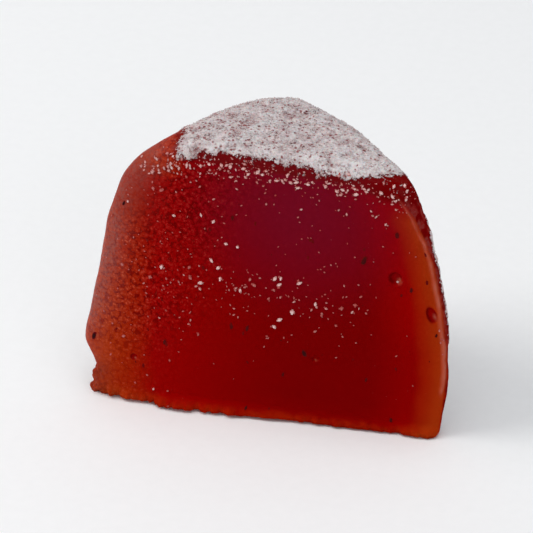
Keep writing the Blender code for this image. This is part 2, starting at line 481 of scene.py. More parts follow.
coverSet = {
    "crown": 0.80, "side": 0.58,                # share of the surface that powder hides
    "turn": (0.35, 0.8),                        # z of a normal where a side passes into the crown
    "highSide": (0.22, 20.0, 26.0),             # more powder high up on the sides
    # large patches: length and seed, depth all over and extra depth on the sides; and small ones
    "patches": (5.5, 41.0), "patchDepth": (0.05, 0.12), "smallPatches": (0.07, 1.7, 43.0),
    # worn along the crown's rim: by how much, z of the normal there and its spread, and y
    "worn": 0.18, "wornTurn": 0.55, "wornSpread": 0.10, "wornFrom": (-3.0, 0.0),
    # creases in the sides and streaks on the crown: by how much, noise and width of the lines
    "creased": 0.34, "creaseLine": (6.5, 47.0), "creaseWidth": 0.05,
    "creasePart": (4.0, 49.0), "creaseRange": (-0.1, 0.25),     # noise that keeps a part of the creases
    "streaked": 0.09, "streakLine": (3.4, 53.0), "streakWidth": 0.06, "streakSqueeze": 2.2,
    "furrows": 0.07, "clumps": 0.2,             # less in the furrows, more in the clumps
    "rightSide": (0.60, 1.3, 2.6),              # more on the right side close behind the cut
    "stray": (0.22, -0.9, 0.3),                 # a little on the bare cut, near its upper edge
}


def dustCover(point, normal, sugared):
    # share of the surface that sugar hides, as the dust group takes it
    values = coverSet
    sides = 1 - smooth(normal.z, *values["turn"])
    level = values["crown"] + (values["side"] - values["crown"]) * sides
    level += sides * rise(point.z, values["highSide"])
    allOver, extra = values["patchDepth"]
    level += (allOver + extra * sides) * ripple(point, *values["patches"])
    level += wave(point, values["smallPatches"])
    rim = bell(normal.z - values["wornTurn"], values["wornSpread"]) * smooth(point.y, *values["wornFrom"])
    creased = bell(ripple(point, *values["creaseLine"]), values["creaseWidth"])
    creased *= smooth(ripple(point, *values["creasePart"]), *values["creaseRange"])
    level -= values["worn"] * rim + values["creased"] * sides * creased
    squeezed = Vector((point.x, point.y * values["streakSqueeze"], point.z))
    streaked = bell(ripple(squeezed, *values["streakLine"]), values["streakWidth"])
    level -= (1 - sides) * (values["streaked"] * streaked + values["furrows"] * (1 - dustLump(point)))
    level += values["clumps"] * inClump(point)
    level += onRightSide(point) * fall(behindCut(point), values["rightSide"])
    return level * sugared + rise(overBrow(point), values["stray"]) * (1 - sugared)


def refinedMesh(node, levels):
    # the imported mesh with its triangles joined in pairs, then rounded and subdivided
    bm = bmesh.new()
    bm.from_mesh(node.data)
    bmesh.ops.remove_doubles(bm, verts=bm.verts, dist=1e-6)
    bmesh.ops.join_triangles(
        bm, faces=bm.faces, angle_face_threshold=math.radians(40), angle_shape_threshold=math.radians(60)
    )
    mesh = bpy.data.meshes.new("gel")
    bm.to_mesh(mesh)
    bm.free()
    holder = bpy.data.objects.new("holder", mesh)
    bpy.context.scene.collection.objects.link(holder)
    rounder = holder.modifiers.new("rounder", "SUBSURF")
    rounder.levels = levels
    graph = bpy.context.evaluated_depsgraph_get()
    fine = bpy.data.meshes.new_from_object(holder.evaluated_get(graph))
    bpy.data.objects.remove(holder)
    bpy.data.meshes.remove(mesh)
    return fine


def finerFaces(mesh):
    # more faces round the open bubbles, so that their bowls are round, and along the lip and the torn foot
    bm = bmesh.new()
    bm.from_mesh(mesh)
    low, high = gelSet["finerLip"]
    for pitReach, lipReach, footTop in gelSet["finerPasses"]:
        near = set()
        for face in bm.faces:
            spot = face.calc_center_median() / mm
            if behindCut(spot) > gelSet["finerBehind"]:
                continue
            onLine = low < spot.z < high and abs(besideLip(spot)) < lipReach
            atPit = any(math.hypot(*inPit(pit, spot)) < pitReach for pit in gelSet["pits"])
            if atPit or onLine or spot.z < footTop:
                near.update(face.edges)
        edges = [edge for edge in bm.edges if edge in near]          # in the mesh's own order
        bmesh.ops.subdivide_edges(bm, edges=edges, cuts=1, use_grid_fill=True)
    bm.to_mesh(mesh)
    bm.free()


def gelLift(point, normal, cover):
    # how far the skin stands out from the smooth piece
    dusted = smooth(cover, *gelSet["dusted"])
    bare = smooth(-normal.y, *gelSet["cutTurn"]) * (1 - dusted)
    heap = gelSet["dustLift"] + gelSet["lumpLift"] * (dustLump(point) - gelSet["lumpMean"])
    heap += wave(point, gelSet["fineLift"]) + gelSet["clumpLift"] * inClump(point)
    lift = dusted * heap + (1 - dusted) * sum(wave(point, kind) for kind in gelSet["gelWaves"])
    lift += bare * gelSet["lipHeight"] * onLip(point)
    rimHeight, rimAt, rimWidth = gelSet["pitRim"]
    for pit in gelSet["pits"]:
        far = math.hypot(*inPit(pit, point))
        if bare > 0 and far < 2:
            bowl = math.sqrt(max(0.0, 1 - far * far))
            lift += bare * pit[-1] * (rimHeight * bell(far - rimAt, rimWidth) - bowl)
    corner = (1 - smooth(point.z, *gelSet["cornerTop"])) * smooth(-point.x, *gelSet["cornerFrom"])
    lift += corner * wave(point, gelSet["cornerTeeth"])
    for out, reach, middle, span in gelSet["rightForm"]:
        lift += out * smooth(point.x, *reach) * bell(point.z - middle, span)
    return lift


def tornFoot(point):
    # the torn lower rim of the cut: how far it moves out, and how far it stands off the floor
    low = 1 - smooth(point.z, *gelSet["footFade"])
    front = 1 - smooth(behindCut(point), *gelSet["footBehind"])
    coarse, fine, finest = [rippleAlong(point.x, *kind) for kind in gelSet["footNoise"]]
    fine += 0.6 * finest
    strong = gelSet["footStrength"] + rise(-point.x, gelSet["footLeft"])
    out = gelSet["footTeeth"] * strong * (fine + 0.6 * coarse) + between(gelSet["footOut"], point.x)
    up = gelSet["footRagged"] * smooth(coarse + 0.8 * fine, *gelSet["footGaps"])
    return Vector((0, -out, up)) * low * front


# where the gel's colours lie, with the light and shade painted into them; names that end in From are
# distances to the left of the middle
maskSet = {
    "front": (0.4, 0.75), "lipFront": (0.05, 0.5),      # how far a normal turns to the front there
    # open bubbles, with painted shade in a ring round each and a painted highlight on the lower right of its
    # wall; places and widths as shares of a bubble's reach
    "pitReach": 1.6, "ringAt": 0.84, "ringWidth": 0.30, "ringLight": 0.10, "ringDark": (0.90, -0.5, 0.6),
    "shadeWay": (-0.85, 0.4), "bowlDark": (0.08, 0.5, 1.0),
    "pitHighlightAt": (0.50, -0.45), "pitHighlightWidth": 0.34, "hollow": (0.75, 1.15),
    # painted glow of light through the gel, in orange: all over, at the left and right edges, at the foot and
    # on the bare tab
    "paintedGlow": 0.072, "warmWave": (0.012, 2.6, 71.0),
    "warmLeft": (9.0, 16.6), "leftCurve": 1.35, "leftWarmth": 0.21,
    "warmRight": (-3.5, -0.2), "rightCurve": 1.5, "rightWarmth": 0.17,
    "pastLip": (0.8, 0.1, 0.5), "rightTop": (0.75, 22.2, 24.0),
    "warmFoot": (0.072, 0.1, 1.7), "footWave": (0.03, 0.5, 75.0), "footWaveTop": (0.4, 1.5),
    "warmTab": (0.10, 23.5, 26.0), "tabFrom": (7.0, 9.0),
    # painted light through the gel, as a lighter red: on the left, before the lip (low down and higher up)
    # and at the foot
    "brightLeft": (-5.0, 15.0), "brightRight": (-7.5, -2.2),
    "brightLow": 0.60, "brightHigh": (0.25, 8.0, 14.0), "brightFoot": (0.22, 0.8, 3.4),
    # the painted reflection, in purple, on the upper middle of the cut
    "paintedReflection": (3.5, 23.0, 14.0),                  # x and z of its middle, and its reach
    # the pale film and painted sheen on the left edge and shoulder
    "filmTurn": (-0.03, 0.5), "filmFrom": (6.0, 12.0), "filmEven": 0.80, "filmWave": (0.35, 2.4, 51.0),
    "filmLow": 0.30, "filmHigh": (0.70, 3.0, 9.0), "filmTop": (0.22, 17.0, 21.0),
    "shoulder": (0.09, 14.0, 23.0), "shoulderFrom": (7.5, 13.0),
    # torn gel, from the left, with a slanting and wavy limit, and smoother at the foot and near the top
    "tornSlant": 0.3, "tornMiddle": 8.0, "tornWave": (2.0, 6.0, 57.0), "tornRise": (0.92, 3.5, 12.5),
    "tornLeast": 0.08, "tornLow": 0.40, "tornHigh": (0.60, 4.0, 10.0),
    "polished": (0.65, 18.5, 21.5), "polishedFrom": (9.5, 12.0),
    # painted shade: the torn rim, the lower left corner and the left shoulder
    "rimTop": (0.1, 0.8), "rimEven": 0.65, "rimWave": (0.7, 0.45, 79.0),
    "shadeCorner": (0.6, 2.8, 5.0), "cornerFrom": (13.5, 16.5),
    "shadeShoulder": (0.22, 17.5, 21.5), "shadeShoulderFrom": (9.0, 12.0),
    # painted shade beyond the lip: distance and height over which it begins, and its darker dashes, stretched
    # upwards, with pale painted sheen between them
    "beyond": (0.15, 0.40), "beyondUp": (0.8, 2.4), "dashes": (0.40, 73.0), "dashRise": (-0.2, 0.3),
    "dashStretch": 0.5, "dashDark": 0.65, "gapDark": 0.35, "gapPale": (0.50, 9.0, 13.0),
    # the dark band under the powder, which reaches deeper on the right and ends at the tab
    "band": (-0.35, 0.15), "bandRight": (8.5, 11.5), "bandDeeper": 1.1, "bandSofter": 0.4,
    "bandStart": (-9.6, -8.2),
    # painted highlight: along the lip, fading near its top, and on the lower right of an open bubble's wall
    "lipTop": (0.6, 18.5, 21.5), "pitHighlightShare": 0.80,
    "wetLip": 0.5, "wetPitHighlight": 0.45, "wetFilm": 0.3, "wetBand": 0.18,
    # inside an open bubble the painted glow is weaker and the painted light stronger
    "hollowWarm": 0.7, "hollowBright": 0.3,
    # the powder's whiteness: everywhere, on lumps, in clumps, more so in those on the right, less on the left
    "powder": 0.36, "powderLumps": 0.28, "powderWave": (0.15, 2.2, 77.0), "powderClumps": 0.26,
    "clumpsRight": (0.12, 5.0, 8.0), "powderLeft": (0.14, 1.5, 6.0),
}


def pitMasks(point):
    # the painted shade in a ring round an open bubble, darkest on its upper left, the painted highlight on
    # the lower right of its wall, and its hollow
    values = maskSet
    pitShade = pitHighlight = hollow = 0.0
    for pit in gelSet["pits"]:
        across, up = inPit(pit, point)
        far = math.hypot(across, up)
        if far < values["pitReach"]:
            toShade = values["shadeWay"][0] * across + values["shadeWay"][1] * up
            shaded = values["ringLight"] + rise(toShade, values["ringDark"])
            pitShade = max(pitShade, shaded * bell(far - values["ringAt"], values["ringWidth"]))
            pitShade = max(pitShade, fall(far, values["bowlDark"]))
            toPitHighlight = math.hypot(across - values["pitHighlightAt"][0], up - values["pitHighlightAt"][1])
            pitHighlight = max(pitHighlight, bell(toPitHighlight, values["pitHighlightWidth"]))
            hollow = max(hollow, 1 - smooth(far, *values["hollow"]))
    return pitShade, pitHighlight, hollow


def paintedGlowAt(point):
    # painted glow of light through the gel: how far the red turns to orange, towards both upright edges,
    # where the gel is thin, and along the foot
    values = maskSet
    fromLip = besideLip(point)
    toLeft = ramp(-point.x, *values["warmLeft"]) ** values["leftCurve"]
    toRight = ramp(fromLip, *values["warmRight"]) ** values["rightCurve"]
    toRight *= (1 - rise(fromLip, values["pastLip"])) * (1 - rise(point.z, values["rightTop"]))
    foot = fall(point.z, values["warmFoot"])
    foot += wave(point, values["footWave"]) * (1 - smooth(point.z, *values["footWaveTop"]))
    tab = rise(point.z, values["warmTab"]) * smooth(-point.x, *values["tabFrom"])
    sides = values["leftWarmth"] * toLeft + values["rightWarmth"] * toRight
    return values["paintedGlow"] + sides + max(foot, tab) + wave(point, values["warmWave"])


def paintedLightAt(point):
    # painted light through the gel: how light the red is; it grows towards the left, where the key light
    # stands, and a little towards the right edge and the foot
    left = smooth(-point.x, *maskSet["brightLeft"])
    right = smooth(besideLip(point), *maskSet["brightRight"])
    right *= maskSet["brightLow"] + rise(point.z, maskSet["brightHigh"])
    return min(1.0, left + right + fall(point.z, maskSet["brightFoot"]))


def leftFilmAndSheen(point, normal):
    # the pale film with painted sheen on the left edge, which ends low down and thins near the top
    filmAndSheen = smooth(-normal.x, *maskSet["filmTurn"]) * smooth(-point.x, *maskSet["filmFrom"])
    filmAndSheen *= maskSet["filmEven"] + wave(point, maskSet["filmWave"])
    filmAndSheen *= maskSet["filmLow"] + rise(point.z, maskSet["filmHigh"])
    return filmAndSheen * (1 - rise(point.z, maskSet["filmTop"]))


def tornGel(point):
    # how rough and flecked the cut is
    values = maskSet
    along = -point.x + values["tornSlant"] * (point.z - values["tornMiddle"])
    along += wave(point, values["tornWave"])
    torn = values["tornLeast"] + rise(along, values["tornRise"])
    torn *= values["tornLow"] + rise(point.z, values["tornHigh"])
    return torn * (1 - rise(point.z, values["polished"]) * smooth(-point.x, *values["polishedFrom"]))


def paintedShadeAt(point, front):
    # painted shade: the torn rim, the lower left corner and the left shoulder are darker
    values = maskSet
    rim = front * (1 - smooth(point.z, *values["rimTop"]))
    rim *= ramp(values["rimEven"] + wave(point, values["rimWave"]), 0.0, 1.0)
    corner = smooth(-point.x, *values["cornerFrom"]) * fall(point.z, values["shadeCorner"])
    shoulder = rise(point.z, values["shadeShoulder"]) * smooth(-point.x, *values["shadeShoulderFrom"])
    return max(rim, corner, shoulder)


def powderLevel(point):
    # how white the powder is
    values = maskSet
    clump = inClump(point)
    level = values["powder"] + values["powderLumps"] * dustLump(point) + wave(point, values["powderWave"])
    level += values["powderClumps"] * clump
    level += clump * rise(point.x, values["clumpsRight"]) - rise(-point.x, values["powderLeft"])
    return min(1.0, level)


def paintMasks(point, normal, cover, sugared):
    # the values that the gel's material reads at a point, each about 0 to 1
    values = maskSet
    front = smooth(-normal.y, *values["front"])
    lipHighlight = onLip(point) * smooth(-normal.y, *values["lipFront"])
    pitShade, pitHighlight, hollow = pitMasks(point) if front > 0 else (0.0, 0.0, 0.0)
    filmAndSheen = leftFilmAndSheen(point, normal)
    shoulder = rise(point.z, values["shoulder"]) * smooth(-point.x, *values["shoulderFrom"])
    # painted shade beyond the lip, broken by dashes
    beyond = smooth(besideLip(point), *values["beyond"]) * smooth(point.z, *values["beyondUp"])
    stretched = Vector((point.x, point.y, point.z * values["dashStretch"]))
    dashes = smooth(ripple(stretched, *values["dashes"]), *values["dashRise"])
    deeper = smooth(point.x, *values["bandRight"])
    start, end = values["band"]
    band = smooth(overBrow(point) + values["bandDeeper"] * deeper, start, end + values["bandSofter"] * deeper)
    band *= smooth(point.x, *values["bandStart"])
    x, z, reach = values["paintedReflection"]
    return {
        "cover": cover,
        "sugared": sugared,
        "powder": powderLevel(point),
        # painted glow of light through the thin gel, weaker in an open bubble
        "paintedGlow": paintedGlowAt(point) * (1 - values["hollowWarm"] * hollow),
        # painted light through the gel, stronger in an open bubble
        "bright": min(1.0, paintedLightAt(point) + values["hollowBright"] * hollow),
        # painted reflection on the upper middle of the cut
        "paintedReflection": front * (1 - smooth(math.hypot(point.x - x, point.z - z) / reach, 0.0, 1.0)),
        # pale film with painted sheen, and pale painted sheen between the dashes beyond the lip
        "filmAndSheen": min(1.0, filmAndSheen + shoulder + beyond * (1 - dashes) * rise(point.z, values["gapPale"])),
        # painted highlight along the lip and on the lower right of an open bubble's wall
        "lipHighlight": max(lipHighlight * (1 - rise(point.z, values["lipTop"])), values["pitHighlightShare"] * pitHighlight),
        "torn": tornGel(point),
        # dark band under the powder, with painted shade beyond the lip and round open bubbles
        "bandAndShade": max(band, beyond * (values["gapDark"] + values["dashDark"] * dashes), pitShade),
        # painted shade at the torn rim, the lower left corner and the left shoulder
        "paintedShade": paintedShadeAt(point, front),
        "wet": (1 - sugared) * max(
            values["wetLip"] * lipHighlight, values["wetPitHighlight"] * pitHighlight, values["wetFilm"] * filmAndSheen,
            values["wetBand"] * band * (1 - deeper),
        ),
    }


def buildGel():
    mesh = refinedMesh(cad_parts["cut_piece"], gelSet["levels"])
    finerFaces(mesh)
    points = [v.co / mm for v in mesh.vertices]
    normals = [Vector(v.vector) for v in mesh.vertex_normals]
    masks = {}
    for vert, point, normal in zip(mesh.vertices, points, normals):
        sugared = smooth(dustDepth(point), *gelSet["edgeFade"])
        cover = dustCover(point, normal, sugared)
        moved = point + gelLift(point, normal, cover) * normal + tornFoot(point)
        moved.z = max(moved.z, 0.0)
        vert.co = moved * mm
        for name, value in paintMasks(point, normal, cover, sugared).items():
            masks.setdefault(name, []).append(value)
    mesh.update()
    for name, values in masks.items():
        mesh.attributes.new(name, "FLOAT", "POINT").data.foreach_set("value", values)
    mesh.shade_smooth()
    gel = bpy.data.objects.new("gel_piece", mesh)
    bpy.context.scene.collection.objects.link(gel)
    tree = BVHTree.FromPolygons([v.co for v in mesh.vertices], [p.vertices for p in mesh.polygons])
    return gel, tree, list(masks)


gelLook = {
    "deepRed": (0.199, 0.0001, 0.0005, 1.0),
    "brightRed": (0.325, 0.0003, 0.0003, 1.0),
    "orange": (0.335, 0.0105, 0.0008, 1.0),
    "amber": (0.400, 0.0335, 0.0029, 1.0),
    # values of the painted glow mask over which the red turns
    "orangeAt": (0.085, 0.15), "amberAt": (0.13, 0.26), "orangeFlecksAt": (0.085, 0.18),
    # purple of the painted reflection
    "paintedReflection": (0.188, 0.0034, 0.0145, 1.0),
    # the dark band, whose colour also gives the painted shade beyond the lip and round open bubbles
    "band": (0.140, 0.0002, 0.0008, 1.0), "bandShare": 0.85,
    # the pale film with its painted sheen
    "filmAndSheen": (0.262, 0.0840, 0.0710, 1.0), "filmGrain": (0.15, 0.85, 0.35, 1.0),
    # colour of the painted highlight on the lip and in open bubbles
    "lipHighlight": (0.480, 0.0880, 0.0400, 1.0), "lipShare": 0.8,
    "fleck": (0.260, 0.0760, 0.0380, 1.0),          # added where a fleck is, in orange gel
    "fleckRed": (0.180, 0.0260, 0.0190, 1.0),       # and in red gel
    # painted shade at the torn rim, the lower left corner and the left shoulder
    "paintedShade": (0.55, 0.50, 0.50, 1.0),                 # the gel's colour times this at the torn rim
    "web": (0.58, 0.22, 0.36, 1.0),                 # the gel's colour times this between flecks
    "underDust": (0.085, 0.0050, 0.0070, 1.0),
    "powder": (                                     # level and colour
        (0.05, (0.260, 0.100, 0.098, 1.0)),
        (0.50, (0.540, 0.450, 0.445, 1.0)),
        (0.95, (0.705, 0.660, 0.655, 1.0)),
    ),
    "powderGrain": 0.50, "powderDots": -1.9, "powderDrop": 0.16,        # what changes its level
    "dust": {
        "Speck Scale": 3200.0, "Clump Scale": 1100.0, "Softness": 0.05,
        "Crack Scale": 1000.0, "Crack Width": 0.04, "Cracks": 0.5,
    },
    "grain": {"Scale": 4200.0, "Contrast": 2.6, "Detail": 3.0},
    "flecks": {"Scale": 2500.0, "Fleck Size": 0.47, "Web Size": 0.50, "Warp": 0.00065},
    "finerFlecks": {"Scale": 4700.0, "Fleck Size": 0.48, "Web Size": 0.50, "Warp": 0.00045},
    "finerShare": 0.8,
    "dots": {"Scale": 2300.0, "Fleck Size": 0.46, "Web Size": 0.60, "Warp": 0.0005},
    "roughGel": (0.30, 0.46), "roughDust": 0.92,
    "coatRoughness": 0.16,
    "subsurface": 0.25, "radius": (1.0, 0.16, 0.10), "depth": 1.2 * mm,
    "specular": 0.003,
    "bump": 0.06 * mm, "bumpStrength": 0.7, "dustHeight": 1.6,
}


def gelColor(tree, look, masks, grain):
    # red, with painted light, painted glow in orange at the edges, the painted reflection, flecks, the film
    # with painted sheen on the left, the dark band with painted shade, the painted highlight on the lip and
    # painted shade at the rim
    # painted light through the gel lightens the red
    color = mixColor(tree, (-1000, 0), masks["bright"], look["deepRed"], look["brightRed"])
    # painted glow of light through the thin gel turns the red orange
    toOrange = mapRange(tree, (-1000, -200), masks["paintedGlow"], *look["orangeAt"])
    color = mixColor(tree, (-850, 0), toOrange, color, look["orange"])
    toAmber = mapRange(tree, (-850, -200), masks["paintedGlow"], *look["amberAt"])
    color = mixColor(tree, (-700, 0), toAmber, color, look["amber"])
    # painted reflection on the upper middle of the cut
    color = mixColor(tree, (-550, 0), masks["paintedReflection"], color, look["paintedReflection"])
    flecks = placeGroup(tree, fleckGroup, (-1000, 450), look["flecks"])
    web = mathNode(tree, "MULTIPLY", (-700, 350), flecks.outputs["Web"], masks["torn"])
    color = mixColor(tree, (-400, 0), web, color, look["web"], "MULTIPLY")
    finer = placeGroup(tree, fleckGroup, (-1000, 700), look["finerFlecks"])
    finer = mathNode(tree, "MULTIPLY", (-850, 700), finer.outputs["Fleck"], look["finerShare"])
    fleck = mathNode(tree, "MAXIMUM", (-850, 500), flecks.outputs["Fleck"], finer)
    fleck = mathNode(tree, "MULTIPLY", (-700, 500), fleck, masks["torn"])
    inOrange = mapRange(tree, (-700, 650), masks["paintedGlow"], *look["orangeFlecksAt"])
    tint = mixColor(tree, (-500, 650), inOrange, look["fleckRed"], look["fleck"])
    color = mixColor(tree, (-250, 0), fleck, color, tint, "ADD")
    # the pale film with painted sheen on the left
    filmAndSheen = mapRange(tree, (-400, -300), grain, *look["filmGrain"])
    filmAndSheen = mathNode(tree, "MULTIPLY", (-250, -300), filmAndSheen, masks["filmAndSheen"])
    color = mixColor(tree, (-100, 0), filmAndSheen, color, look["filmAndSheen"])
    # the dark band, with painted shade beyond the lip and round open bubbles
    band = mathNode(tree, "MULTIPLY", (-100, -200), masks["bandAndShade"], look["bandShare"])
    color = mixColor(tree, (0, 0), band, color, look["band"])
    # painted highlight on the lip and on the lower right of open bubbles
    lipHighlight = mathNode(tree, "MULTIPLY", (0, -350), masks["lipHighlight"], look["lipShare"])
    color = mixColor(tree, (100, 0), lipHighlight, color, look["lipHighlight"])
    # painted shade at the torn rim, the lower left corner and the left shoulder
    color = mixColor(tree, (150, 0), masks["paintedShade"], color, look["paintedShade"], "MULTIPLY")
    return mixColor(tree, (250, 0), masks["sugared"], color, look["underDust"])


def powderColor(tree, look, masks, grain):
    # powder, whitest where it lies thick
    dots = placeGroup(tree, fleckGroup, (-450, 900), look["dots"])
    level = mathNode(tree, "MULTIPLY_ADD", (-250, 700), grain, look["powderGrain"], masks["powder"])
    level = mathNode(tree, "MULTIPLY_ADD", (-180, 800), dots.outputs["Fleck"], look["powderDots"], level)
    level = mathNode(tree, "SUBTRACT", (-100, 700), level, look["powderDrop"])
    blend = addNode(tree, "ShaderNodeValToRGB", (50, 700))
    (first, firstColor), (middle, middleColor), (last, lastColor) = look["powder"]
    blend.color_ramp.elements[0].position = first
    blend.color_ramp.elements[0].color = firstColor
    blend.color_ramp.elements[1].position = last
    blend.color_ramp.elements[1].color = lastColor
    blend.color_ramp.elements.new(middle).color = middleColor
    tree.links.new(level, blend.inputs["Fac"])
    return blend.outputs["Color"]


def gelMaterial(look, names):
    material, tree, shader = newMaterial("roseGel")
    masks = {name: readMask(tree, (-1700, 900 - 170 * row), name) for row, name in enumerate(names)}
    dust = placeGroup(tree, dustGroup, (-1300, 700), {"Cover": masks["cover"], **look["dust"]})
    grain = placeGroup(tree, grainGroup, (-1300, 350), look["grain"])
    tone = grain.outputs["Tone"]
    color = gelColor(tree, look, masks, tone)
    color = mixColor(tree, (450, 100), dust.outputs["Mask"], color, powderColor(tree, look, masks, tone))
    tree.links.new(color, shader.inputs["Base Color"])

    # a Mix node takes two numbers in sockets 2 and 3
    gloss = mapRange(tree, (100, -500), tone, 0.0, 1.0, *look["roughGel"])
    rough = addNode(tree, "ShaderNodeMix", (450, -200), {3: look["roughDust"]}, data_type="FLOAT")
    tree.links.new(dust.outputs["Mask"], rough.inputs[0])
    tree.links.new(gloss, rough.inputs[2])
    tree.links.new(rough.outputs[0], shader.inputs["Roughness"])

    tornHeight = mathNode(tree, "MULTIPLY", (-500, 950), grain.outputs["Height"], masks["torn"])
    height = mathNode(
        tree, "MULTIPLY_ADD", (-350, 950), dust.outputs["Height"], look["dustHeight"], tornHeight
    )
    bump = addNode(
        tree, "ShaderNodeBump", (450, 900), {"Strength": look["bumpStrength"], "Distance": look["bump"]}
    )
    tree.links.new(height, bump.inputs["Height"])
    tree.links.new(bump.outputs[0], shader.inputs["Normal"])

    tree.links.new(masks["wet"], shader.inputs["Coat Weight"])
    shader.inputs["Coat Roughness"].default_value = look["coatRoughness"]
    shader.inputs["Subsurface Weight"].default_value = look["subsurface"]
    shader.inputs["Subsurface Radius"].default_value = look["radius"]
    shader.inputs["Subsurface Scale"].default_value = look["depth"]
    shader.inputs["Specular IOR Level"].default_value = look["specular"]
    return material


gel, gelTree, maskNames = buildGel()
gel.data.materials.clear()
gel.data.materials.append(gelMaterial(gelLook, maskNames))
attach(gel, "root")
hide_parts("cut_piece")
print("gel piece:", len(gel.data.polygons), "faces")


# small things on the gel, each kind one mesh

fullTurn = 6.28          # radians


def scatterMesh(name, shapes, material):
    # shapes: lists of (corners, faces, how far each corner has melted into the gel), joined into one piece
    corners, faces, melts = [], [], []
    for points, sides, melted in shapes:
        start = len(corners)
        corners += points
        melts += melted
        faces += [[start + i for i in side] for side in sides]
    mesh = bpy.data.meshes.new(name)
    mesh.from_pydata(corners, [], faces)
    mesh.update()
    mesh.attributes.new("melt", "FLOAT", "POINT").data.foreach_set("value", melts)
    mesh.materials.append(material)
    piece = bpy.data.objects.new(name, mesh)
    bpy.context.scene.collection.objects.link(piece)
    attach(piece, "root")
    print(name + ":", len(shapes), "bits,", sum(len(f) - 2 for f in faces), "triangles")


def bitMaterial(name, look):
    material, tree, shader = newMaterial(name)
    grain = placeGroup(tree, grainGroup, (-300, 0), look["grain"])
    melt = readMask(tree, (-300, 300), "melt")
    color = mixColor(tree, (0, 100), grain.outputs["Tone"], look["shade"], look["bright"])
    color = mixColor(tree, (200, 100), melt, color, look["melted"])
    tree.links.new(color, shader.inputs["Base Color"])
    if "coat" in look:                          # it shines where it hasn't melted
        coat = mapRange(tree, (200, 300), melt, 0.0, look["coatUntil"], look["coat"], 0.0)
        tree.links.new(coat, shader.inputs["Coat Weight"])
        shader.inputs["Coat Roughness"].default_value = look["coatRoughness"]
    rough = mapRange(tree, (0, -150), grain.outputs["Tone"], 0.0, 1.0, *look["roughness"])
    tree.links.new(rough, shader.inputs["Roughness"])
    shader.inputs["Specular IOR Level"].default_value = look["specular"]
    return material


def meshParts(bm):
    # corners and faces of a small mesh, which is then freed
    bm.verts.index_update()
    corners = [v.co.copy() for v in bm.verts]
    faces = [[v.index for v in f.verts] for f in bm.faces]
    bm.free()
    return corners, faces


def spotsByWeight(draw, mesh, count, weightOf):
    # points spread over the mesh by area and by weight, with their normals
    masks = mesh.attributes["cover"].data
    mesh.calc_loop_triangles()
    totals, kept, total = [], [], 0.0
    for tri in mesh.loop_triangles:
        cover = sum(masks[i].value for i in tri.vertices) / 3
        weight = tri.area * weightOf(cover, tri.center / mm)
        if weight > 0:
            total += weight
            totals.append(total)
            kept.append(tri)
    spots = []
    for tri in draw.choices(kept, cum_weights=totals, k=count):
        a, b = draw.random(), draw.random()
        if a + b > 1:
            a, b = 1 - a, 1 - b
        p, q, r = (mesh.vertices[i].co for i in tri.vertices)
        spots.append((p + a * (q - p) + b * (r - p), tri.normal.copy()))
    return spots


dustSet = {
    "seed": 5, "count": 15000,
    "size": (0.07, 0.19), "uneven": (0.7, 1.25), "sink": 0.30, "melt": 0.35,
    "coverRange": (0.30, 0.85),                 # grains lie where the powder's cover passes this
    # hardly any close to the cut's right edge: x and distance behind the cut where that begins, z, and share
    "edgeFrom": (12.0, 14.5), "edgeBehind": (1.2, 2.6), "edgeTop": (23.0, 25.0), "edgeThin": 0.97,
    "lowest": 0.15,
}
dustLook = {
    "bright": (0.750, 0.715, 0.705, 1.0),
    "shade": (0.560, 0.480, 0.475, 1.0),
    "melted": (0.400, 0.110, 0.100, 1.0),
    "grain": {"Scale": 1500.0, "Contrast": 3.0, "Detail": 1.0},
    "roughness": (0.70, 0.85), "specular": 0.2,
}


# the six corners of an eight-sided grain lie on its axes, two by two
grainFaces = [(0, 2, 4), (2, 1, 4), (1, 3, 4), (3, 0, 4), (2, 0, 5), (1, 2, 5), (3, 1, 5), (0, 3, 5)]


def grainShape(draw, centre, size):
    turn = Euler([draw.uniform(0, fullTurn) for _ in range(3)]).to_matrix()
    corners = []
    for axis in range(3):
        for way in (1, -1):
            corner = Vector()
            corner[axis] = 0.5 * size * way * draw.uniform(*dustSet["uneven"])
            corners.append(centre + turn @ corner)
    return corners, grainFaces, [dustSet["melt"] * draw.random() ** 3] * 6


def grainWeight(cover, point):
    # how thick the grains lie
    if point.z <= dustSet["lowest"]:
        return 0.0
    atEdge = smooth(point.x, *dustSet["edgeFrom"]) * (1 - smooth(behindCut(point), *dustSet["edgeBehind"]))
    atEdge *= 1 - smooth(point.z, *dustSet["edgeTop"])
    return smooth(cover, *dustSet["coverRange"]) * (1 - dustSet["edgeThin"] * atEdge)


def buildDust():
    draw = random.Random(dustSet["seed"])
    low, high = dustSet["size"]
    shapes = []
    for spot, normal in spotsByWeight(draw, gel.data, dustSet["count"], grainWeight):
        size = (low + (high - low) * draw.random() ** 2) * mm
        spot = spot + normal * size * (0.5 - dustSet["sink"])
        spot.z = max(spot.z, 0.6 * size)        # clear of the floor
        shapes.append(grainShape(draw, spot, size))
    scatterMesh("sugar_dust", shapes, bitMaterial("icingSugar", dustLook))


